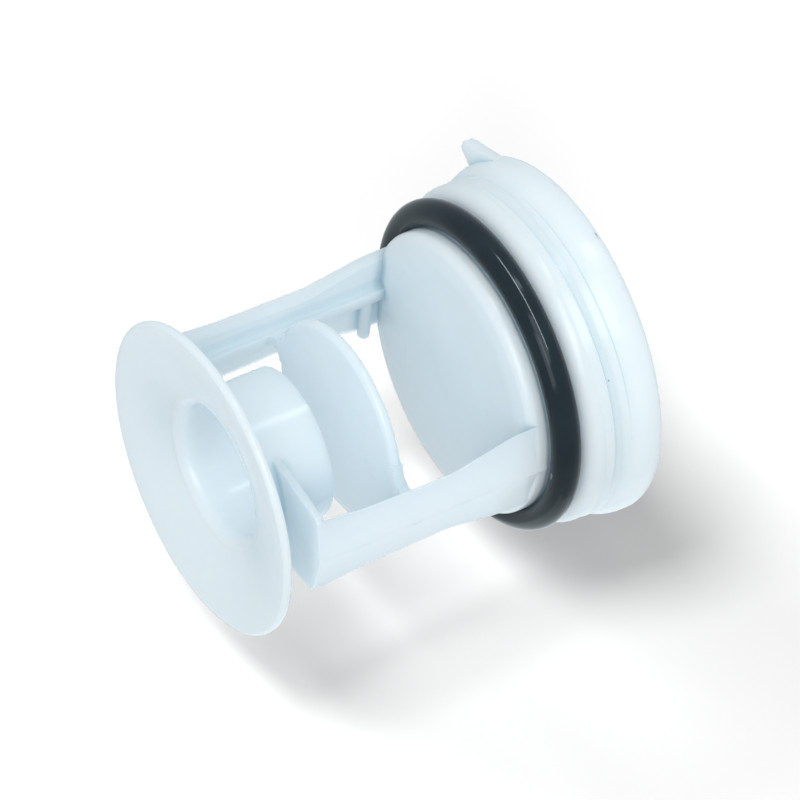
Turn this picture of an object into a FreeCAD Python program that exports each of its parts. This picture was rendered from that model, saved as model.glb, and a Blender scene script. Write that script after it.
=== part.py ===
import FreeCAD, Part

import math
import os

# A screw-in drain filter plug for a washing machine, in millimetres.
# The plug is one moulding: a hollow threaded cap, a drum that carries the seal, two arms,
# a baffle disc between the arms, and a short tube that opens into a bell-shaped mouth.
# It stands on the cap's rim, +Z runs from the cap to the mouth, and the arms lie along X.

# Cap, from the standing rim upwards
flange_radius = 33.0
flange_edge_height = 4.1
flange_rim_rounding = 1.5
flange_crown_rounding = 6.0
flange_slope_height = 3.3
collar_step = 1.55
collar_height = 7.05
collar_shoulder_rounding = 3.1
cap_wall = 2.45
cap_corner_fill = 1.2
edge_break = 0.4

# How far one form runs into the next where they are melted together
overlap = 0.1

# Screw thread: low buttress ridges in two opposite sectors, sunk into the collar at their ends
thread_pitch = 3.35
thread_ridge_height = 0.6
thread_steep_flank = 0.45
thread_crest_land = 0.25
thread_long_flank = 2.0
thread_sector = 172.0
thread_middle_angle = 38.0
thread_first_crest = 6.45
thread_reach_into_shoulder = 1.0

# Stop lug on the flange
lug_tip_reach = 4.2
lug_corner_reach = 3.4
lug_thickness = 2.0
lug_height_above_rim = 1.6
lug_stop_angle = 144.7
lug_tip_angle = 142.2
lug_foot_angle = 126.0
lug_root_depth = 1.5
lug_corner_rounding = 0.3
lug_tip_rounding = 0.5

# Seal and its groove
seal_set_back = 0.65
seal_section = 5.3
seal_side_clearance = 0.05
seal_seat_clearance = 0.05
seal_lip_clearance = 0.5

# Drum, the closed front end of the cap
drum_lip_width = 0.75
drum_lip_height = 3.75
drum_bevel_width = 4.2
drum_bevel_drop = 0.7
drum_bevel_rounding = 12.0
drum_edge_rounding = 1.7
drum_wall = 2.2

# Grip bar across the hollow cap
grip_web = 3.0
grip_head_width = 6.0
grip_head_height = 4.5
grip_set_back = 0.6
grip_head_rounding = 1.8
grip_neck_rounding = 1.2

# Arms
arm_stand_out = 0.2
arm_depth = 3.0
arm_facet_drop = 0.21
arm_bevel_depth = 1.1
arm_bevel_width = 1.9
arm_length = 42.3
arm_waist_half_width = 6.75
arm_waist_height = 15.0
arm_waist_rounding = 14.0
arm_root_half_width = 9.8
arm_root_height = 3.0
arm_root_rounding = 12.0
arm_shin_half_width = 7.3
arm_shin_height = 33.0
arm_shin_rounding = 25.0
arm_foot_half_width = 8.8
arm_corner_rounding = 1.6
arm_ridge_rounding = 1.0

# Rib along the inside of each arm, and the short cross bead near the drum
rib_thickness = 2.2
rib_depth = 2.0
rib_depth_in_arm = 0.6
rib_fillet = 0.9
rib_root_fillet = 1.2
web_fillet = 3.6
web_back_fillet = 1.6
bead_radius = 1.15
bead_distance_from_drum = 3.0
bead_set_back = 0.45

# Baffle disc
baffle_radius = 18.75
baffle_thickness = 2.0
baffle_distance_from_drum = 21.05
baffle_edge_rounding = 0.95

# Tube and bell mouth
tube_outer_radius = 13.9
tube_wall = 1.7
tube_end_distance_from_drum = 32.05
spoke_thickness = 1.4
spoke_half_width_at_tube = 9.9
mouth_radius = 28.8
mouth_wall = 1.6
mouth_height = 50.7
mouth_depth = 3.1
mouth_crown = 0.45
throat_rounding = 2.3

# Radii and heights worked out from the sizes above
collar_radius = flange_radius - collar_step
collar_bottom = flange_edge_height + flange_slope_height
groove_bottom = collar_bottom + collar_height
seal_outer_radius = collar_radius - seal_set_back
seal_radius = seal_outer_radius - seal_section / 2
seal_seat_radius = seal_outer_radius - seal_section - seal_seat_clearance
drum_radius = seal_seat_radius + drum_lip_width
seal_height = groove_bottom + seal_side_clearance + seal_section / 2
seal_half_chord = math.sqrt((seal_section / 2) ** 2 - (seal_radius - drum_radius) ** 2)
lip_bottom = seal_height + seal_half_chord + seal_lip_clearance
drum_face = lip_bottom + drum_lip_height
arm_ridge_radius = drum_radius + arm_stand_out
arm_inner_plane = arm_ridge_radius - arm_depth
arm_end = drum_face + arm_length
baffle_bottom = drum_face + baffle_distance_from_drum
baffle_top = baffle_bottom + baffle_thickness
tube_bottom = drum_face + tube_end_distance_from_drum
mouth_top = drum_face + mouth_height
throat_radius = tube_outer_radius - tube_wall
ORIGIN = FreeCAD.Vector(0, 0, 0)
UP = FreeCAD.Vector(0, 0, 1)


def polar(radius, degrees):
    """A point in the XY plane, by radius and angle."""
    angle = math.radians(degrees)
    return radius * math.cos(angle), radius * math.sin(angle)


def rounded_outline(corners, place):
    """A closed wire through corners (a, b, rounding); place turns (a, b) into a 3-D point."""
    edges = []
    joins = []
    count = len(corners)
    for i, (a, b, rounding) in enumerate(corners):
        here = place(a, b)
        before = place(*corners[i - 1][:2]) - here
        after = place(*corners[(i + 1) % count][:2]) - here
        half_angle = before.getAngle(after) / 2
        reach = rounding / math.tan(half_angle)
        start = here + before.normalize() * reach
        end = here + after.normalize() * reach
        if rounding > 0:
            bisector = (before + after).normalize()
            middle = here + bisector * (rounding / math.sin(half_angle) - rounding)
            joins.append((start, end, middle))
        else:
            joins.append((here, here, None))
    for i, (start, end, middle) in enumerate(joins):
        if middle is not None:
            edges.append(Part.Arc(start, middle, end).toShape())
        following = joins[(i + 1) % count][0]
        if (following - end).Length > 1e-6:
            edges.append(Part.LineSegment(end, following).toShape())
    return Part.Wire(edges)


def in_plan(a, b):
    """Outline coordinates laid in the XY plane."""
    return FreeCAD.Vector(a, b, 0)


def in_section(a, b):
    """Outline coordinates as radius and height, in the XZ plane."""
    return FreeCAD.Vector(a, 0, b)


def turned(wire):
    """The solid of revolution of a half-section about the Z axis."""
    return Part.Face(wire).revolve(ORIGIN, UP, 360)


def cap_shell():
    """Flange, collar, seal groove, lip and drum face as one turned hollow shell."""
    inside = collar_radius - cap_wall
    drum_inside = seal_seat_radius - drum_wall
    ceiling = drum_face - drum_wall
    ledge = groove_bottom - cap_wall
    corners = [
        (inside, edge_break, 0),
        (inside + edge_break, 0, 0),
        (flange_radius, 0, flange_rim_rounding),
        (flange_radius, flange_edge_height, flange_crown_rounding),
        (collar_radius, collar_bottom, 0),
        (collar_radius, groove_bottom, collar_shoulder_rounding),
        (seal_seat_radius, groove_bottom, 0),
        (seal_seat_radius, lip_bottom, 0),
        (drum_radius, lip_bottom, 0),
        (drum_radius, drum_face - drum_bevel_drop, drum_edge_rounding),
        (drum_radius - drum_bevel_width, drum_face, drum_bevel_rounding),
        (0, drum_face, 0),
        (0, ceiling, 0),
        (drum_inside - cap_corner_fill, ceiling, 0),
        (drum_inside, ceiling - cap_corner_fill, 0),
        (drum_inside, ledge + edge_break, 0),
        (drum_inside + edge_break, ledge, 0),
        (inside - cap_corner_fill, ledge, 0),
        (inside, ledge - cap_corner_fill, 0),
    ]
    return turned(rounded_outline(corners, in_section))


def thread_ridge(crest_height, sector_middle):
    """One buttress ridge: a washer set off towards the middle of its sector and tipped by the lead."""
    offset = thread_ridge_height / (1 - math.cos(math.radians(thread_sector / 2)))
    lead_angle = math.degrees(math.atan(thread_pitch / (2 * math.pi * collar_radius)))
    crest = collar_radius + thread_ridge_height - offset
    root = crest - thread_ridge_height - overlap
    bore = crest - cap_wall + offset + overlap
    corners = [
        (bore, -thread_steep_flank, 0),
        (root, -thread_steep_flank, 0),
        (crest, 0, 0),
        (crest, thread_crest_land, 0),
        (root, thread_long_flank, 0),
        (bore, thread_long_flank, 0),
    ]
    ridge = turned(rounded_outline(corners, in_section))
    ridge.rotate(ORIGIN, FreeCAD.Vector(1, 0, 0), lead_angle)
    ridge.translate(FreeCAD.Vector(offset, 0, crest_height))
    ridge.rotate(ORIGIN, UP, sector_middle)
    return ridge


def thread():
    """Every ridge: the second sector lies half a turn, and so half a pitch, further on."""
    ridges = []
    limit = groove_bottom - collar_shoulder_rounding + thread_reach_into_shoulder
    for turn in (0, 0.5):
        height = thread_first_crest + thread_pitch * turn
        while height + thread_long_flank < limit:
            ridges.append(thread_ridge(height, thread_middle_angle + 360 * turn))
            height += thread_pitch
    return ridges


def stop_lug():
    """A ratchet-shaped lug: one steep face, a blunt tip and a long taper into the flange."""
    root = flange_radius - lug_root_depth
    corners = [
        (*polar(root, lug_stop_angle), 0),
        (*polar(flange_radius + lug_corner_reach, lug_stop_angle), lug_corner_rounding),
        (*polar(flange_radius + lug_tip_reach, lug_tip_angle), lug_tip_rounding),
        (*polar(flange_radius - overlap, lug_foot_angle), 0),
        (*polar(root, lug_foot_angle), 0),
    ]
    lug = Part.Face(rounded_outline(corners, in_plan)).extrude(UP * lug_thickness)
    lug.translate(UP * lug_height_above_rim)
    return lug


def grip_bar():
    """The finger bar inside the cap: a web with a thicker rounded head at the open end."""
    top = drum_face - drum_wall / 2
    ledge = groove_bottom - cap_wall
    neck = grip_set_back + grip_head_height
    web = grip_web / 2
    head = grip_head_width / 2
    corners = [
        (-head, grip_set_back, grip_head_rounding),
        (head, grip_set_back, grip_head_rounding),
        (head, neck, grip_neck_rounding),
        (web, neck + head - web, grip_neck_rounding),
        (web, top, 0),
        (-web, top, 0),
        (-web, neck + head - web, grip_neck_rounding),
        (-head, neck, grip_neck_rounding),
    ]
    half_length = collar_radius
    wire = rounded_outline(corners, lambda a, b: FreeCAD.Vector(-half_length, a, b))
    bar = Part.Face(wire).extrude(FreeCAD.Vector(2 * half_length, 0, 0))
    wide = Part.makeCylinder(collar_radius - cap_wall / 2, ledge + cap_wall / 2)
    narrow = Part.makeCylinder(seal_seat_radius - drum_wall / 2, top)
    return bar.common(wide.fuse(narrow))


def arm_outline(inset, x):
    """The arm seen from outside, at distance x from the axis, shrunk sideways by inset."""
    side = [
        (arm_root_half_width - inset, lip_bottom, 0),
        (arm_root_half_width - inset, drum_face + arm_root_height, arm_root_rounding),
        (arm_waist_half_width - inset, drum_face + arm_waist_height, arm_waist_rounding),
        (arm_shin_half_width - inset, drum_face + arm_shin_height, arm_shin_rounding),
        (arm_foot_half_width - inset, arm_end, arm_corner_rounding),
    ]
    other_side = [(-a, b, rounding) for a, b, rounding in reversed(side)]
    return rounded_outline(side + other_side, lambda a, b: FreeCAD.Vector(x, a, b))


def arm_plate():
    """One arm at +X: two shallow outer facets that meet on a ridge, and bevelled inner edges."""
    reach = arm_root_half_width + 1
    edge = arm_ridge_radius - arm_facet_drop * reach
    corners = [
        (arm_ridge_radius, 0, arm_ridge_rounding),
        (edge, reach, 0),
        (arm_inner_plane - 1, reach, 0),
        (arm_inner_plane - 1, -reach, 0),
        (edge, -reach, 0),
    ]
    facets = Part.Face(rounded_outline(corners, in_plan)).extrude(UP * arm_end)
    knee = arm_inner_plane + arm_bevel_depth
    outer = Part.Face(arm_outline(0, knee)).extrude(FreeCAD.Vector(arm_ridge_radius - knee + 1, 0, 0))
    inner = Part.makeLoft([arm_outline(0, knee), arm_outline(arm_bevel_width, arm_inner_plane)], True)
    return facets.common(outer.fuse(inner))


def arm_rib():
    """The rib on one side of the parting plane, which reaches in to hold the baffle's rim."""
    tip = arm_inner_plane - rib_depth
    root = arm_inner_plane + rib_depth_in_arm
    bottom = drum_face - drum_wall / 2
    hold = baffle_radius - baffle_edge_rounding
    top = arm_end - spoke_thickness / 2
    corners = [
        (root, bottom, 0),
        (tip, bottom, 0),
        (tip, baffle_bottom, rib_fillet),
        (hold, baffle_bottom, 0),
        (hold, baffle_top, 0),
        (tip, baffle_top, rib_fillet),
        (tip, top, 0),
        (root, top, 0),
    ]
    rib = Part.Face(rounded_outline(corners, in_section)).extrude(FreeCAD.Vector(0, rib_thickness, 0))
    flank = [
        (arm_inner_plane, rib_thickness - overlap, 0),
        (arm_inner_plane - rib_root_fillet, rib_thickness - overlap, 0),
        (arm_inner_plane - rib_root_fillet, rib_thickness, 0),
        (arm_inner_plane, rib_thickness + rib_root_fillet, 0),
    ]
    gusset = Part.Face(rounded_outline(flank, in_plan)).extrude(UP * (top - bottom))
    gusset.translate(UP * bottom)
    round_off = Part.makeCylinder(rib_root_fillet, arm_end)
    round_off.translate(
        FreeCAD.Vector(arm_inner_plane - rib_root_fillet, rib_thickness + rib_root_fillet, 0))
    return rib.fuse(gusset.cut(round_off))


def baffle_web():
    """The disc's rim swept out to the rib, with a wide hollow fillet in front and a small one behind."""
    inside = baffle_radius - rib_depth
    width = rib_thickness + web_fillet + web_back_fillet
    web = Part.makeBox(arm_inner_plane - rib_depth / 2 - inside, width, baffle_thickness)
    web.translate(FreeCAD.Vector(inside, -web_back_fillet, baffle_bottom))
    for radius, middle in ((web_back_fillet, -web_back_fillet), (web_fillet, rib_thickness + web_fillet)):
        along = math.sqrt((baffle_radius + radius) ** 2 - middle**2)
        hollow = Part.makeCylinder(radius, arm_end)
        hollow.translate(FreeCAD.Vector(along, middle, 0))
        beyond = Part.makeBox(arm_end, 2 * radius, arm_end)
        beyond.translate(FreeCAD.Vector(along, middle - radius, 0))
        web = web.cut(hollow).cut(beyond)
    return web


def cross_bead():
    """The round-ended bead that runs from the rib across the arm's inside and past its edge."""
    depth = arm_inner_plane - rib_depth + bead_radius
    length = arm_root_half_width - bead_set_back - bead_radius
    height = drum_face + bead_distance_from_drum
    bead = Part.makeCylinder(bead_radius, length)
    bead = bead.fuse(Part.makeSphere(bead_radius, UP * length))
    bead.rotate(ORIGIN, FreeCAD.Vector(1, 0, 0), 90)
    bead.translate(FreeCAD.Vector(depth, 0, height))
    return bead


def spoke():
    """The arm's foot: a flat plate square to the axis, from the arm in to the tube."""
    edge = arm_ridge_radius - arm_facet_drop * arm_foot_half_width
    corners = [
        (arm_ridge_radius, 0, arm_ridge_rounding),
        (edge, arm_foot_half_width, arm_corner_rounding),
        (throat_radius + tube_wall / 2, spoke_half_width_at_tube, 0),
        (0, spoke_half_width_at_tube, 0),
        (0, -spoke_half_width_at_tube, 0),
        (throat_radius + tube_wall / 2, -spoke_half_width_at_tube, 0),
        (edge, -arm_foot_half_width, arm_corner_rounding),
    ]
    plate = Part.Face(rounded_outline(corners, in_plan)).extrude(UP * spoke_thickness)
    plate.translate(UP * (arm_end - spoke_thickness))
    bore = Part.makeCylinder(throat_radius + tube_wall / 2, arm_end + 1)
    return plate.cut(bore)


def baffle():
    """The disc that breaks the flow between the tube and the drum."""
    corners = [
        (0, baffle_bottom, 0),
        (baffle_radius, baffle_bottom, baffle_edge_rounding),
        (baffle_radius, baffle_top, baffle_edge_rounding),
        (0, baffle_top, 0),
    ]
    return turned(rounded_outline(corners, in_section))


def bell_mouth():
    """Tube and mouth in one half-section: bore, rolled lip, crowned bell face and thin rim."""
    rim = mouth_wall / 2
    rim_middle = mouth_top - rim
    lip_radius = throat_radius + throat_rounding
    lip_top = mouth_top - mouth_depth
    back_root = lip_top - mouth_wall
    crown_radius = (lip_radius + mouth_radius) / 2
    crown_top = (mouth_top + lip_top) / 2 + mouth_crown

    def line(a, b):
        return Part.LineSegment(in_section(*a), in_section(*b)).toShape()

    def arc(a, middle, b):
        return Part.Arc(in_section(*a), in_section(*middle), in_section(*b)).toShape()

    turn = math.sqrt(0.5) * throat_rounding
    centre = (lip_radius, lip_top - throat_rounding)
    edges = [
        line((throat_radius, centre[1]), (throat_radius, tube_bottom)),
        line((throat_radius, tube_bottom), (tube_outer_radius, tube_bottom)),
        line((tube_outer_radius, tube_bottom), (tube_outer_radius, back_root)),
        arc(
            (tube_outer_radius, back_root),
            (crown_radius, crown_top - mouth_wall),
            (mouth_radius - rim, mouth_top - mouth_wall),
        ),
        arc(
            (mouth_radius - rim, mouth_top - mouth_wall),
            (mouth_radius, rim_middle),
            (mouth_radius - rim, mouth_top),
        ),
        arc((mouth_radius - rim, mouth_top), (crown_radius, crown_top), (lip_radius, lip_top)),
        arc(
            (lip_radius, lip_top),
            (centre[0] - turn, centre[1] + turn),
            (throat_radius, centre[1]),
        ),
    ]
    return turned(Part.Wire(edges))


def plug():
    """The whole moulding as one solid."""
    pieces = thread() + [stop_lug(), grip_bar(), baffle(), bell_mouth()]
    for piece in (arm_plate(), arm_rib(), baffle_web(), cross_bead(), spoke()):
        pieces += [piece, piece.mirror(ORIGIN, FreeCAD.Vector(1, 0, 0))]
    return cap_shell().fuse(pieces).removeSplitter()


def seal_ring():
    """The rubber ring in the groove between the collar and the drum's lip."""
    return Part.makeTorus(seal_radius, seal_section / 2, UP * seal_height, UP)


os.makedirs("parts", exist_ok=True)
for name, make in (("filter_plug", plug), ("seal_ring", seal_ring)):
    shape = make()
    print(name, "valid", shape.isValid(), "solids", len(shape.Solids), "volume", round(shape.Volume, 1))
    shape.exportStep(f"parts/{name}.step")
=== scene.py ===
# %% [markdown]
# # The drain filter plug of a washing machine
#
# The real object is one injection moulding of milky polypropylene with a black rubber sealing
# ring in its groove. It screws into the pump's housing at the foot of the machine: the cap and
# the thread close the hole, and the open cage behind them catches coins, buttons and lint.
#
# Both parts come from the CAD model, and their shapes are right. So this scene leaves their
# meshes alone. It gives them their finishes, adds the small marks that an injection mould leaves,
# and sets up the camera, the paper that the filter lies on, and the light.

import math

import bpy
import numpy as np
from mathutils import Matrix, Vector


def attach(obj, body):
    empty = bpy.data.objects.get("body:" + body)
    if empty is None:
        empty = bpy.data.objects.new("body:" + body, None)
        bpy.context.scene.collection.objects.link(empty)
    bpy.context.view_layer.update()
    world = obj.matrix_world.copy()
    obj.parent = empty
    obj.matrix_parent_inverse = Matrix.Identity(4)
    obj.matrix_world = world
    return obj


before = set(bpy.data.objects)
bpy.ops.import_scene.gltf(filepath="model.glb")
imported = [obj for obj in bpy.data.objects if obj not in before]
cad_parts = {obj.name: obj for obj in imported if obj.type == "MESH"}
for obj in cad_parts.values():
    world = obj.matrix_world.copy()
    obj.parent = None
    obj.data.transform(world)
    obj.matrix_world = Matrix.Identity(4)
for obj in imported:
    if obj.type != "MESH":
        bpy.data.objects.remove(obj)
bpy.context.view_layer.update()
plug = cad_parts["filter_plug"]
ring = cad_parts["seal_ring"]
print("plug faces", len(plug.data.polygons), "ring faces", len(ring.data.polygons))

# %% [markdown]
# ## Lengths and colours
#
# Blender works in metres, and a mould maker in millimetres, so one number turns one into the
# other. Colours are written the way a paint program shows them, as sRGB hex codes. A shader wants
# the amount of light instead, which is not in proportion to the code, so one function turns every
# code to linear numbers.

# %% Units and colours
MM = 0.001


def linear(hex_code):
    """An sRGB hex colour as linear red, green and blue, and a 1.

    Each is ((c + 0.055) / 1.055) to the power 2.4, or c / 12.92 for the darkest.
    """
    parts = [int(hex_code[i : i + 2], 16) / 255 for i in (0, 2, 4)]
    parts = [c / 12.92 if c <= 0.04045 else ((c + 0.055) / 1.055) ** 2.4 for c in parts]
    return (*parts, 1.0)


print("milky plastic in linear light", [round(c, 3) for c in linear("DBECF5")[:3]])

# %% [markdown]
# ## One helper for every node
#
# A material is a tree of nodes. Each node has settings, such as which sum it does, and sockets
# that take a value or a link. One small function adds a node of any kind, fills its settings and
# sockets, and links it, so that a material reads from top to bottom like a recipe.


# %% Node helper
def add_node(tree, kind, settings=None, links=None):
    """Adds one node. Settings fill properties and sockets, links join sockets to other outputs."""
    node = tree.nodes.new(kind)
    for key, value in (settings or {}).items():
        if isinstance(key, int) or key in node.inputs:
            node.inputs[key].default_value = value
        else:
            setattr(node, key, value)
    for key, source in (links or {}).items():
        tree.links.new(source, node.inputs[key])
    return node


def new_material(name):
    """An empty material of this name, and its tree."""
    material = bpy.data.materials.new(name)
    material.use_nodes = True
    material.node_tree.nodes.clear()
    return material, material.node_tree


def per_mm(size):
    """The scale that gives a pattern features of this many millimetres on Object coordinates."""
    return 1 / (size * MM)


# %% [markdown]
# ## Milky polypropylene
#
# Polypropylene without pigment is milky: its crystals scatter light forwards, so a wall 2 mm
# thick glows and shows no hard shade inside. Glass-like transmission would make it too dark and
# clear, and plain white paint would give it hard shadows. Subsurface scattering that mostly runs
# forward (anisotropy 0.9) over many millimetres gives the even, waxy white with a cool tint.
#
# The mould was polished but not lapped, so the surface is glossy with a slow waviness where the
# plastic shrank, about 10 mm long. The melt flowed along the part, away from the cap, and left
# faint streaks in that direction. Handling and grit left fine scratches in patches. Edges are
# rubbed a little duller, and they are paler partly from wear and partly as a painted highlight
# where light glows through them. A few tiny dark specks are burnt plastic from the screw of the
# moulding machine. Creases get a painted shade.


# %% Finish of the moulding
def moulded_polypropylene():
    """Natural polypropylene, injection moulded: milky, waxy, glossy, faintly streaked."""
    material, tree = new_material("moulded_polypropylene_milky")
    place = add_node(tree, "ShaderNodeTexCoord").outputs["Object"]

    # Clouds 15 mm wide where the walls are thicker or cooled slower, about 2 % in colour.
    clouds = add_node(tree, "ShaderNodeTexNoise", {"Scale": per_mm(15), "Detail": 2.0}, {
        "Vector": place,
    })
    milky = add_node(tree, "ShaderNodeMix", {
        "data_type": "RGBA", 6: linear("DBECF5"), 7: linear("E3F2F9"),
    }, {0: clouds.outputs["Fac"]})

    # Flow streaks: 3 mm wide and 20 mm long, along the axis that the melt followed.
    along_flow = add_node(tree, "ShaderNodeMapping", {"Scale": (1.0, 1.0, 0.15)}, {
        "Vector": place,
    })
    streaks = add_node(tree, "ShaderNodeTexNoise", {"Scale": per_mm(3), "Detail": 3.0}, {
        "Vector": along_flow.outputs[0],
    })
    streak_part = add_node(tree, "ShaderNodeMapRange", {
        "From Min": 0.5, "From Max": 0.8, "To Min": 0.0, "To Max": 0.22,
    }, {"Value": streaks.outputs["Fac"]})
    streaked = add_node(tree, "ShaderNodeMix", {"data_type": "RGBA", 7: linear("E8F5FC")}, {
        0: streak_part.outputs["Result"], 6: milky.outputs[2],
    })

    # Edges, found as the places where the surface turns within 0.35 mm.
    rounded = add_node(tree, "ShaderNodeBevel", {"samples": 4, "Radius": 0.35 * MM})
    flat = add_node(tree, "ShaderNodeNewGeometry").outputs["Normal"]
    turn = add_node(tree, "ShaderNodeVectorMath", {"operation": "DOT_PRODUCT"}, {
        0: rounded.outputs[0], 1: flat,
    })
    edges = add_node(tree, "ShaderNodeMapRange", {
        "From Min": 0.99, "From Max": 0.85, "To Min": 0.0, "To Max": 1.0,
    }, {"Value": turn.outputs["Value"]})
    rubbed_and_highlit_places = add_node(tree, "ShaderNodeTexNoise", {"Scale": per_mm(4), "Detail": 4.0}, {
        "Vector": place,
    })
    rubbed_and_highlit_part = add_node(tree, "ShaderNodeMapRange", {
        "From Min": 0.40, "From Max": 0.70, "To Min": 0.10, "To Max": 0.45,
    }, {"Value": rubbed_and_highlit_places.outputs["Fac"]})
    rubbed_and_highlit_edges = add_node(tree, "ShaderNodeMath", {"operation": "MULTIPLY"}, {
        0: edges.outputs["Result"], 1: rubbed_and_highlit_part.outputs["Result"],
    })
    # Edges turn paler in patches, partly as rubbed wear and partly as a painted highlight where
    # light glows through the thin edges.
    worn_and_highlit = add_node(tree, "ShaderNodeMix", {"data_type": "RGBA", 7: linear("EBF5FB")}, {
        0: rubbed_and_highlit_edges.outputs[0], 6: streaked.outputs[2],
    })

    # Scratches: the contour lines of a stretched noise, about 0.1 mm wide. Real ones are finer,
    # and these are drawn as coarse as the render needs. A second noise keeps them in patches.
    askew = add_node(tree, "ShaderNodeMapping", {
        "Rotation": (0.5, 0.9, 0.3), "Scale": (1.0, 0.06, 1.0),
    }, {"Vector": place})
    hairs = add_node(tree, "ShaderNodeTexNoise", {"Scale": per_mm(2.2), "Detail": 1.0}, {
        "Vector": askew.outputs[0],
    })
    off_middle = add_node(tree, "ShaderNodeMath", {"operation": "SUBTRACT", 1: 0.5}, {
        0: hairs.outputs["Fac"],
    })
    away = add_node(tree, "ShaderNodeMath", {"operation": "ABSOLUTE"}, {0: off_middle.outputs[0]})
    lines = add_node(tree, "ShaderNodeMapRange", {
        "From Min": 0.0, "From Max": 0.006, "To Min": 1.0, "To Max": 0.0,
    }, {"Value": away.outputs[0]})
    patches = add_node(tree, "ShaderNodeTexNoise", {"Scale": per_mm(9), "Detail": 1.0}, {
        "Vector": place,
    })
    patch_part = add_node(tree, "ShaderNodeMapRange", {
        "From Min": 0.62, "From Max": 0.70, "To Min": 0.0, "To Max": 1.0,
    }, {"Value": patches.outputs["Fac"]})
    scratches = add_node(tree, "ShaderNodeMath", {"operation": "MULTIPLY"}, {
        0: lines.outputs["Result"], 1: patch_part.outputs["Result"],
    })
    scratch_colour = add_node(tree, "ShaderNodeMath", {"operation": "MULTIPLY", 1: 0.2}, {
        0: scratches.outputs[0],
    })
    scratched = add_node(tree, "ShaderNodeMix", {"data_type": "RGBA", 7: linear("AFC3CF")}, {
        0: scratch_colour.outputs[0], 6: worn_and_highlit.outputs[2],
    })

    # Burnt specks: one cell in eight of a 9 mm grid of random points has one, 0.2 mm in radius.
    cell_size, speck_radius, bare_share = 9, 0.2, 0.87
    cells = add_node(tree, "ShaderNodeTexVoronoi", {"Scale": per_mm(cell_size)}, {"Vector": place})
    near = add_node(tree, "ShaderNodeMath", {
        "operation": "LESS_THAN", 1: speck_radius / cell_size,
    }, {0: cells.outputs["Distance"]})
    draw = add_node(tree, "ShaderNodeSeparateColor", {}, {"Color": cells.outputs["Color"]})
    chosen = add_node(tree, "ShaderNodeMath", {"operation": "GREATER_THAN", 1: bare_share}, {
        0: draw.outputs[0],
    })
    specks = add_node(tree, "ShaderNodeMath", {"operation": "MULTIPLY"}, {
        0: near.outputs[0], 1: chosen.outputs[0],
    })
    speck_part = add_node(tree, "ShaderNodeMath", {"operation": "MULTIPLY", 1: 0.55}, {
        0: specks.outputs[0],
    })
    specked = add_node(tree, "ShaderNodeMix", {"data_type": "RGBA", 7: linear("4E4A44")}, {
        0: speck_part.outputs[0], 6: scratched.outputs[2],
    })

    # Painted shade: creases, such as the roots of the thread, are darkened towards a grey blue.
    # They are found as the places where the surface itself hides part of the sky within 2 mm.
    hollow = add_node(tree, "ShaderNodeAmbientOcclusion", {
        "samples": 6, "only_local": True, "Distance": 2.0 * MM,
    })
    painted_crease_shade = add_node(tree, "ShaderNodeMapRange", {
        "From Min": 0.98, "From Max": 0.60, "To Min": 0.0, "To Max": 0.9,
    }, {"Value": hollow.outputs["AO"]})
    # The painted crease shade, mixed into the colour.
    colour = add_node(tree, "ShaderNodeMix", {"data_type": "RGBA", 7: linear("B4C0C7")}, {
        0: painted_crease_shade.outputs["Result"], 6: specked.outputs[2],
    })

    # Gloss: 0.15 to 0.22 in patches of 8 mm, duller on scratches and rubbed edges, 0.26 at most.
    gloss = add_node(tree, "ShaderNodeTexNoise", {"Scale": per_mm(8), "Detail": 3.0}, {
        "Vector": place,
    })
    polish = add_node(tree, "ShaderNodeMapRange", {
        "From Min": 0.3, "From Max": 0.7, "To Min": 0.15, "To Max": 0.22,
    }, {"Value": gloss.outputs["Fac"]})
    duller = add_node(tree, "ShaderNodeMath", {"operation": "MULTIPLY_ADD", 1: 0.10}, {
        0: scratches.outputs[0], 2: polish.outputs["Result"],
    })
    handled = add_node(tree, "ShaderNodeMath", {"operation": "MULTIPLY_ADD", 1: 0.08}, {
        0: rubbed_and_highlit_edges.outputs[0], 2: duller.outputs[0],
    })
    roughness = add_node(tree, "ShaderNodeMath", {"operation": "MINIMUM", 1: 0.26}, {
        0: handled.outputs[0],
    })

    # Relief: shrinkage waves 10 mm long, a skin like orange peel at 0.9 mm, and the scratches.
    waves = add_node(tree, "ShaderNodeTexNoise", {"Scale": per_mm(10), "Detail": 1.0}, {
        "Vector": place,
    })
    wavy = add_node(tree, "ShaderNodeBump", {"Strength": 1.0, "Distance": 0.18 * MM}, {
        "Height": waves.outputs["Fac"],
    })
    peel = add_node(tree, "ShaderNodeTexNoise", {"Scale": per_mm(0.9), "Detail": 2.0}, {
        "Vector": place,
    })
    peeled = add_node(tree, "ShaderNodeBump", {"Strength": 1.0, "Distance": 0.003 * MM}, {
        "Height": peel.outputs["Fac"], "Normal": wavy.outputs[0],
    })
    grooved = add_node(tree, "ShaderNodeBump", {
        "Strength": 1.0, "Distance": 0.002 * MM, "invert": True,
    }, {
        "Height": scratches.outputs[0], "Normal": peeled.outputs[0],
    })

    shader = add_node(tree, "ShaderNodeBsdfPrincipled", {
        "IOR": 1.49,
        "Subsurface Weight": 0.85,
        "Subsurface Radius": (1.0, 1.15, 1.3),
        "Subsurface Scale": 14 * MM,
        "Subsurface Anisotropy": 0.9,
    }, {
        "Base Color": colour.outputs[2], "Roughness": roughness.outputs[0],
        "Normal": grooved.outputs[0],
    })
    add_node(tree, "ShaderNodeOutputMaterial", {}, {"Surface": shader.outputs[0]})
    return material


# %% [markdown]
# ## Black rubber
#
# A sealing ring is pressed from nitrile rubber filled with soot, in a polished mould. It is
# almost black with a cool cast, and softly glossy: the light draws one thin line round it. A
# little talc and lint cling to it, so its gloss is patchy and it has a few pale specks.


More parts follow.
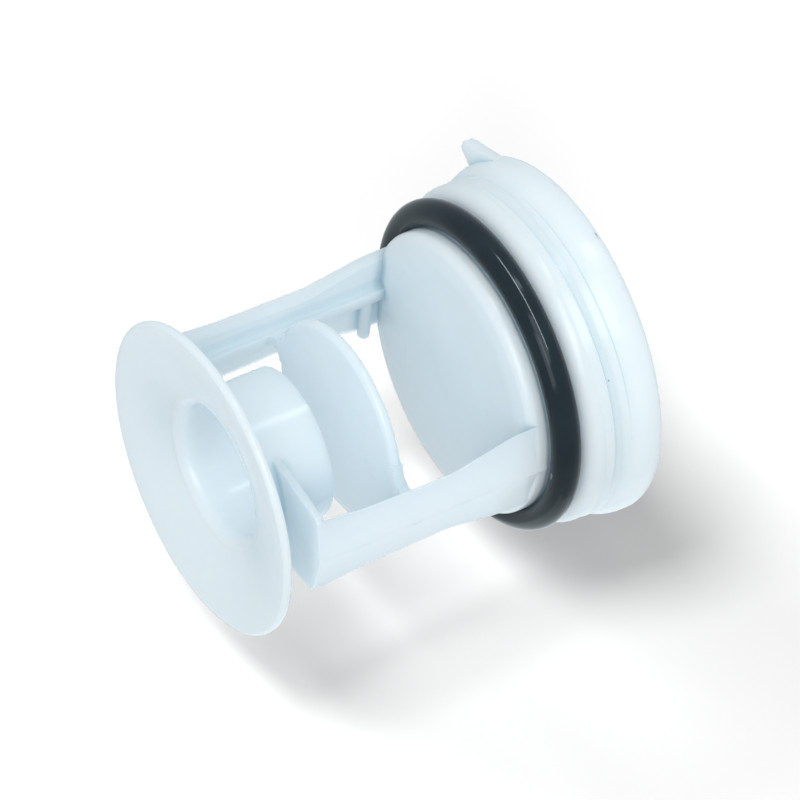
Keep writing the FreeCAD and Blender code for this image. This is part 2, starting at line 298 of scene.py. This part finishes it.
# %% Finish of the seal
def moulded_rubber():
    """Nitrile rubber, press moulded: cool black, soft gloss, a trace of talc and lint."""
    material, tree = new_material("moulded_rubber_black")
    place = add_node(tree, "ShaderNodeTexCoord").outputs["Object"]

    bloom = add_node(tree, "ShaderNodeTexNoise", {"Scale": per_mm(5), "Detail": 4.0}, {
        "Vector": place,
    })
    bloomed = add_node(tree, "ShaderNodeMix", {
        "data_type": "RGBA", 6: linear("0F171B"), 7: linear("1B262C"),
    }, {0: bloom.outputs["Fac"]})

    # Lint: pale specks 0.12 mm in radius, in one cell in ten of a 2.5 mm grid of random points.
    cell_size, lint_radius, bare_share = 2.5, 0.12, 0.9
    cells = add_node(tree, "ShaderNodeTexVoronoi", {"Scale": per_mm(cell_size)}, {"Vector": place})
    near = add_node(tree, "ShaderNodeMath", {
        "operation": "LESS_THAN", 1: lint_radius / cell_size,
    }, {0: cells.outputs["Distance"]})
    draw = add_node(tree, "ShaderNodeSeparateColor", {}, {"Color": cells.outputs["Color"]})
    chosen = add_node(tree, "ShaderNodeMath", {"operation": "GREATER_THAN", 1: bare_share}, {
        0: draw.outputs[0],
    })
    lint = add_node(tree, "ShaderNodeMath", {"operation": "MULTIPLY"}, {
        0: near.outputs[0], 1: chosen.outputs[0],
    })
    lint_part = add_node(tree, "ShaderNodeMath", {"operation": "MULTIPLY", 1: 0.55}, {
        0: lint.outputs[0],
    })
    colour = add_node(tree, "ShaderNodeMix", {"data_type": "RGBA", 7: linear("8F989C")}, {
        0: lint_part.outputs[0], 6: bloomed.outputs[2],
    })

    talc = add_node(tree, "ShaderNodeTexNoise", {"Scale": per_mm(3), "Detail": 3.0}, {
        "Vector": place,
    })
    roughness = add_node(tree, "ShaderNodeMapRange", {
        "From Min": 0.3, "From Max": 0.7, "To Min": 0.08, "To Max": 0.16,
    }, {"Value": talc.outputs["Fac"]})

    # The pressed skin has a grain of about 0.7 mm, a few thousandths of a millimetre deep.
    grain = add_node(tree, "ShaderNodeTexNoise", {"Scale": per_mm(0.7), "Detail": 2.0}, {
        "Vector": place,
    })
    grained = add_node(tree, "ShaderNodeBump", {"Strength": 1.0, "Distance": 0.003 * MM}, {
        "Height": grain.outputs["Fac"],
    })

    shader = add_node(tree, "ShaderNodeBsdfPrincipled", {"IOR": 1.5, "Specular IOR Level": 0.22}, {
        "Base Color": colour.outputs[2], "Roughness": roughness.outputs["Result"],
        "Normal": grained.outputs[0],
    })
    add_node(tree, "ShaderNodeOutputMaterial", {}, {"Surface": shader.outputs[0]})
    return material


polypropylene = moulded_polypropylene()
rubber = moulded_rubber()
for piece, material in ((plug, polypropylene), (ring, rubber)):
    for slot in piece.material_slots:
        slot.material = material
for material in (polypropylene, rubber):
    print("finish", material.name, len(material.node_tree.nodes), "nodes")

# %% [markdown]
# ## Surfaces from arrays
#
# The small marks are surfaces on a grid of two parameters. One runs along a path or a profile,
# and the other goes round. The points are worked out as whole arrays, and the faces join each
# point to its neighbours. Where one end of the grid shrinks to a point, the points there are one
# vertex, so the pole is closed.


# %% Grid surfaces
def closed_tube(rings):
    """Points, quads and triangles of a tube through n rings of m points, with a pole at each end.

    Point (i, j) is ring i at step j round it. Each quad joins (i, j), (i+1, j), (i+1, j+1) and
    (i, j+1). The poles are the middles of the first and the last ring.
    """
    n, m = rings.shape[:2]
    i, j = np.meshgrid(np.arange(n - 1), np.arange(m), indexing="ij")
    after = (j + 1) % m
    quads = np.stack([i * m + j, (i + 1) * m + j, (i + 1) * m + after, i * m + after], -1)
    quads = quads.reshape(-1, 4)
    step = np.arange(m)
    start = np.stack([np.full(m, n * m), step, (step + 1) % m], -1)
    last = (n - 1) * m
    end = np.stack([np.full(m, n * m + 1), last + (step + 1) % m, last + step], -1)
    points = np.concatenate([rings.reshape(-1, 3), [rings[0].mean(0), rings[-1].mean(0)]])
    return points, quads, np.concatenate([start, end])


def closed_loop(rings):
    """Points and quads of a tube that joins its own start, like a hoop, so it needs no poles.

    Each quad joins (i, j), (i+1, j), (i+1, j+1) and (i, j+1), and both i and j wrap round.
    """
    n, m = rings.shape[:2]
    i, j = np.meshgrid(np.arange(n), np.arange(m), indexing="ij")
    next_i, next_j = (i + 1) % n, (j + 1) % m
    quads = np.stack([i * m + j, next_i * m + j, next_i * m + next_j, i * m + next_j], -1)
    return rings.reshape(-1, 3), quads.reshape(-1, 4), np.empty((0, 3), int)


def bead(path, outward, half_width, height, around=10):
    """Rings of a bead that lies on a path.

    A ring is path + cos(t) * half_width * side + sin(t) * height * outward, for t once round. The
    side is across the path and the outward direction. Width and height are arrays along the path,
    so the bead can swell and thin out.
    """
    along = np.gradient(path, axis=0)
    along /= np.linalg.norm(along, axis=1, keepdims=True)
    side = np.cross(along, outward)
    side /= np.linalg.norm(side, axis=1, keepdims=True)
    turn = np.linspace(0, 2 * math.pi, around, endpoint=False)
    across = np.cos(turn)[None, :, None] * (half_width[:, None] * side)[:, None, :]
    raised = np.sin(turn)[None, :, None] * (height[:, None] * outward)[:, None, :]
    return path[:, None, :] + across + raised


def mould_mark(name, parts, hoops=()):
    """One object from closed tubes and hoops, in millimetres, in the moulding's own plastic."""
    points, faces, count = [], [], 0
    shapes = [closed_tube(rings) for rings in parts] + [closed_loop(rings) for rings in hoops]
    for some_points, quads, triangles in shapes:
        points.append(some_points)
        faces += (quads + count).tolist() + (triangles + count).tolist()
        count += len(some_points)
    mesh = bpy.data.meshes.new(name)
    mesh.from_pydata((np.concatenate(points) * MM).tolist(), [], faces)
    mesh.validate()
    mesh.shade_smooth()
    mesh.materials.append(polypropylene)
    piece = bpy.data.objects.new(name, mesh)
    bpy.context.scene.collection.objects.link(piece)
    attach(piece, "root")
    volume = signed_volume(mesh)
    print(name, "faces", len(faces), "volume in cubic mm", round(volume / MM**3, 4))
    return piece


def signed_volume(mesh):
    """A sixth of the sum of a . (b x c) over the triangles: above zero where faces point out."""
    mesh.calc_loop_triangles()
    corners = np.empty(len(mesh.loop_triangles) * 3, int)
    mesh.loop_triangles.foreach_get("vertices", corners)
    places = np.empty(len(mesh.vertices) * 3)
    mesh.vertices.foreach_get("co", places)
    a, b, c = places.reshape(-1, 3)[corners.reshape(-1, 3)].transpose(1, 0, 2)
    return float((a * np.cross(b, c)).sum() / 6)


# %% [markdown]
# ## The parting line
#
# The mould has two halves that meet in the plane Y = 0, through the ridges of both arms. A hair
# of plastic creeps between them and stays as a fine raised line, thicker where the halves are
# worn. It is a real shape, so it is geometry: a bead about 0.1 mm wide on each ridge. The
# ridge's distance from the axis is measured on the moulding itself, by a ray from outside.


# %% Parting line on the arms
def surface_radius(z, side):
    """Distance in mm from the axis to the moulding's surface in the parting plane, at height z."""
    hit, place, _, _ = plug.ray_cast(Vector((side * 60 * MM, 0, z * MM)), Vector((-side, 0, 0)))
    return abs(place.x) / MM if hit else 0.0


arm_start, arm_end = 24.6, 64.4
line_half_width, line_height, line_sink, line_run_out = 0.06, 0.013, 0.01, 1.5
random = np.random.default_rng(7)
heights = np.linspace(arm_start, arm_end, 160)
line_parts = []
for side in (1, -1):
    radii = np.array([surface_radius(z, side) for z in heights])
    path = np.stack([side * (radii - line_sink), np.zeros_like(heights), heights], -1)
    outward = np.tile([float(side), 0.0, 0.0], (len(heights), 1))
    swell = 0.65 + 0.35 * np.sin(heights * 0.9 + side) * np.sin(heights * 0.37)
    swell = swell + 0.12 * random.standard_normal(len(heights))
    from_end = np.minimum(heights - heights[0], heights[-1] - heights)
    taper = np.clip(from_end / line_run_out, 0.02, 1)
    swell = np.clip(swell, 0.25, 1.2) * taper
    line_parts.append(bead(path, outward, line_half_width * swell, line_height * swell))
    print("ridge radius", side, radii.min().round(3), radii.max().round(3))
mould_mark("parting_line", line_parts)

# %% [markdown]
# ## Burrs
#
# Where the mould's parts meet at a rim, a shred of plastic can stay after trimming. The
# photograph shows four: two on the edge of the cap's flange, one on the mouth's rim and one where
# the parting line crosses the lip beside the seal. Each is a small fin that swells and thins out
# along a few millimetres of the rim.


# %% Burrs on the rims
burr_half_width = 0.10


def rim_burr(radius, z, degrees, length, height):
    """A fin along a circle: its height and width follow (1 - u * u) for u from -1 to 1."""
    u = np.linspace(-1, 1, 25)
    angle = math.radians(degrees) + u * length / (2 * radius)
    outward = np.stack([np.cos(angle), np.sin(angle), np.zeros_like(angle)], -1)
    outward /= np.linalg.norm(outward, axis=1, keepdims=True)
    path = np.stack([radius * np.cos(angle), radius * np.sin(angle), np.full_like(angle, z)], -1)
    shape = np.clip(1 - u * u, 0.03, 1) * (1 + 0.25 * np.sin(7 * u))
    return bead(path, outward, burr_half_width * shape, height * shape)


# Each row: radius, height above the cap's rim, angle in degrees, length, height of the fin.
burrs = [
    rim_burr(32.80, 0.95, 75.5, 2.2, 0.18),
    rim_burr(32.78, 1.10, 98.0, 1.6, 0.20),
    rim_burr(28.55, 73.20, 196.0, 2.4, 0.22),
    rim_burr(27.95, 19.75, -1.0, 2.0, 0.25),
]
mould_mark("rim_burrs", burrs)

# %% [markdown]
# ## Marks in the hollow cap
#
# The side that faces the room is hollow, with a bar across it for the fingers. It doesn't show in
# the photograph, so it has only what every such moulding has there: the round marks of the pins
# that push the part out of the mould, 4 mm across with a fine raised edge, and the stub of the
# gate, where the plastic came in and was snapped off. Both are turned profiles.


# %% Ejector marks and gate
def turned(profile, centre_place, around=40):
    """A profile of (radius, height) pairs turned round an upright line through a place.

    Ring k has the points (x + r_k * cos(t), y + r_k * sin(t), z + h_k), for t once round.
    """
    turn = np.linspace(0, 2 * math.pi, around, endpoint=False)
    radius, height = np.array(profile, float).T
    x = centre_place[0] + radius[:, None] * np.cos(turn)
    y = centre_place[1] + radius[:, None] * np.sin(turn)
    z = np.repeat((centre_place[2] + height)[:, None], around, axis=1)
    return np.stack([x, y, z], -1)


def under_side(x, y):
    """Height in mm of the first surface that a ray from below the cap meets at this place."""
    hit, place, _, _ = plug.ray_cast(Vector((x * MM, y * MM, -10 * MM)), Vector((0, 0, 1)))
    return place.z / MM if hit else 0.0


pin_circle, pin_radius, pin_angles = 18.0, 2.0, np.radians([40, 140, 220, 320])
pin_places = [(pin_circle * math.cos(a), pin_circle * math.sin(a)) for a in pin_angles]
edge_turn = np.linspace(0, 2 * math.pi, 8, endpoint=False)
pin_edge = np.stack([pin_radius + 0.10 * np.cos(edge_turn), -0.02 - 0.08 * np.sin(edge_turn)], -1)
pin_marks = [turned(pin_edge, (x, y, under_side(x, y))) for x, y in pin_places]
gate_profile = [
    (0.01, 0.5), (1.0, 0.5), (0.95, -0.1), (0.78, -0.32),
    (0.5, -0.38), (0.3, -0.30), (0.01, -0.33),
]
gate = turned(gate_profile, (0.0, 0.0, under_side(0.0, 0.0)))
mould_mark("ejector_marks_and_gate", [gate], pin_marks)
print("hollow cap floor at", round(under_side(*pin_places[0]), 3), "mm")
print("finger bar at", round(under_side(0.0, 0.0), 3), "mm")

# %% [markdown]
# ## Camera
#
# The photograph looks down at the filter, which lies on its side with the cap to the right. The
# CAD model stands on its cap, so the camera is turned instead of the part: its three axes say
# which way is right, up and back in the picture. A long lens from far away keeps the circles as
# round as the photograph shows them.

# %% Camera
right = Vector((0.52694348, 0.06276095, -0.84757987))
up = Vector((-0.64468729, 0.67935866, -0.35049979))
back = Vector((0.55381302, 0.73111755, 0.3984448))
camera_data = bpy.data.cameras.new("photo_camera")
camera_data.lens = 291.774
camera_data.sensor_width = 36
camera_data.clip_start = 0.3
camera_data.clip_end = 3.0
camera = bpy.data.objects.new("photo_camera", camera_data)
bpy.context.scene.collection.objects.link(camera)
camera.rotation_mode = "QUATERNION"
camera.rotation_quaternion = Matrix((right, up, back)).transposed().to_quaternion()
camera.location = (0.623298, 0.822026, 0.481547)
bpy.context.scene.camera = camera
centre = Vector((0, 0, 30 * MM))
print("camera distance in m", round((camera.location - centre).length, 3))

# %% [markdown]
# ## The paper that it lies on
#
# The filter lies on its flange and on the rim of its mouth, so the paper is a plane that touches
# both, turned by the small angle between them. Its middle is pale paper. Towards the edge it
# fades into the white room, and from behind it can't be seen, so other views show the filter
# alone. It takes the filter's shadow but doesn't shade or tint the filter. The photograph's
# shadow is a neutral grey, while the light here is cool, so the paper is as much warmer than grey
# as the light is cooler.

# %% Lying floor
PAPER_GREY = (0.244, 0.22, 0.2085, 1)
flange_radius, mouth_radius, total_height = 33.0, 28.8, 73.9
axis_tilt = math.asin((flange_radius - mouth_radius) / total_height)
floor_up = Vector((0, math.cos(axis_tilt), math.sin(axis_tilt)))
floor_along = Vector((0, -math.sin(axis_tilt), math.cos(axis_tilt)))
floor_across = Vector((1, 0, 0))
floor_point = Vector((0, -flange_radius * MM, 0))


def fading_paper(name, point, normal, radius):
    """A square of paper round a point that fades between 0.55 and 0.95 of its radius."""
    side = normal.orthogonal().normalized()
    other = normal.cross(side).normalized()
    signs = ((-1, -1), (1, -1), (1, 1), (-1, 1))
    corners = [point + radius * (a * side + b * other) for a, b in signs]
    mesh = bpy.data.meshes.new(name)
    mesh.from_pydata([tuple(c) for c in corners], [], [(0, 1, 2, 3)])
    floor = bpy.data.objects.new(name, mesh)
    bpy.context.scene.collection.objects.link(floor)

    material, tree = new_material("matt_paper_white")
    place = add_node(tree, "ShaderNodeTexCoord").outputs["Object"]
    away = add_node(tree, "ShaderNodeVectorMath", {"operation": "DISTANCE", 1: tuple(point)}, {
        0: place,
    })
    fade = add_node(tree, "ShaderNodeMapRange", {
        "interpolation_type": "SMOOTHSTEP", "From Min": 0.55 * radius, "From Max": 0.95 * radius,
    }, {"Value": away.outputs["Value"]})
    behind = add_node(tree, "ShaderNodeNewGeometry").outputs["Backfacing"]
    gone = add_node(tree, "ShaderNodeMath", {"operation": "MAXIMUM"}, {
        0: fade.outputs["Result"], 1: behind,
    })
    paper = add_node(tree, "ShaderNodeBsdfDiffuse", {"Color": PAPER_GREY})
    clear = add_node(tree, "ShaderNodeBsdfTransparent")
    mix = add_node(tree, "ShaderNodeMixShader", {}, {
        0: gone.outputs[0], 1: paper.outputs[0], 2: clear.outputs[0],
    })
    add_node(tree, "ShaderNodeOutputMaterial", {}, {"Surface": mix.outputs[0]})
    mesh.materials.append(material)
    floor.visible_diffuse = False
    floor.visible_glossy = False
    floor.visible_transmission = False
    floor.visible_shadow = False
    return floor


paper_radius = 0.45
paper = fading_paper("lying_floor", floor_point, floor_up, paper_radius)
print("the axis leans by", round(math.degrees(axis_tilt), 2), "degrees from the paper")

# %% [markdown]
# ## Light
#
# The photograph looks as if taken in a light tent, so most of the light comes from the room. A
# narrow box overhead, leaning towards the cap, draws the band on the tube. Weaker boxes fill in
# from the viewer's side, from the side of the mouth and from below. The seal is so glossy that its
# thin bright line needs a strip of its own, which lights the ring alone. The shadow on the paper
# comes from three directions, so three boxes light the paper alone, and don't light the filter.
#
# A lamp's strength is given as its brightness, where 1 is white, times its area and pi, because a
# bigger lamp of the same brightness gives out more light.

# %% Lamps
COOL_DAYLIGHT = (0.90, 1.0, 1.055)


def softbox(name, direction, distance, size, brightness, only=None):
    """A soft rectangular lamp this far away, turned to the filter. Only: all that it lights."""
    data = bpy.data.lights.new(name, "AREA")
    data.shape = "RECTANGLE"
    data.size, data.size_y = size
    data.energy = brightness * size[0] * size[1] * math.pi
    data.color = COOL_DAYLIGHT
    lamp = bpy.data.objects.new(name, data)
    bpy.context.scene.collection.objects.link(lamp)
    lamp.visible_camera = False
    place = distance * direction.normalized()
    lamp.location = centre + place
    aim = -place.normalized()
    across = aim.cross(floor_along).normalized()
    along = across.cross(aim).normalized()
    lamp.rotation_mode = "QUATERNION"
    lamp.rotation_quaternion = Matrix((across, along, -aim)).transposed().to_quaternion()
    if only is not None:
        group = bpy.data.collections.new(name + "_lights")
        group.objects.link(only)
        lamp.light_linking.receiver_collection = group
    return lamp


def toward(x, height, along):
    """A direction over the paper: across it, up from it, and along the filter's axis."""
    return x * floor_across + height * floor_up + along * floor_along


softbox("overhead_box", toward(0, 1, -0.22), 0.9, (0.12, 0.5), 4.4)
softbox("side_fill", toward(0.57, 0.45, 0.57), 0.92, (0.5, 0.5), 2.2)
softbox("front_fill", back, 0.9, (0.5, 0.5), 2.4)
softbox("under_fill", toward(0, -1, 0), 0.9, (0.9, 0.9), 0.4)
softbox("glint_strip", toward(0.2, 1, 0), 0.9, (1.2, 0.07), 25.0, only=ring)
softbox("shadow_key", toward(-0.124, 0.956, 0.265), 1.5, (0.66, 0.66), 36.0, only=paper)
softbox("shadow_left", toward(-0.852, 0.342, 0.397), 1.5, (0.83, 0.83), 48.0, only=paper)
softbox("shadow_right", toward(0.779, 0.342, 0.525), 1.5, (0.83, 0.83), 38.0, only=paper)

# %% [markdown]
# ## The room
#
# The room lights the filter evenly at a plain level, a little under white. The camera sees the
# room as pure white, because the photograph's background is, and that costs no extra light.

# %% World
world = bpy.data.worlds.new("white_room")
bpy.context.scene.world = world
world.use_nodes = True
room = world.node_tree
room.nodes.clear()
seen_by_camera = add_node(room, "ShaderNodeLightPath").outputs["Is Camera Ray"]
lit = add_node(room, "ShaderNodeBackground", {"Color": (*COOL_DAYLIGHT, 1), "Strength": 0.70})
seen = add_node(room, "ShaderNodeBackground", {"Color": (1, 1, 1, 1), "Strength": 1.0})
choose = add_node(room, "ShaderNodeMixShader", {}, {
    0: seen_by_camera, 1: lit.outputs[0], 2: seen.outputs[0],
})
add_node(room, "ShaderNodeOutputWorld", {}, {"Surface": choose.outputs[0]})
bpy.context.scene.view_settings.view_transform = "Standard"
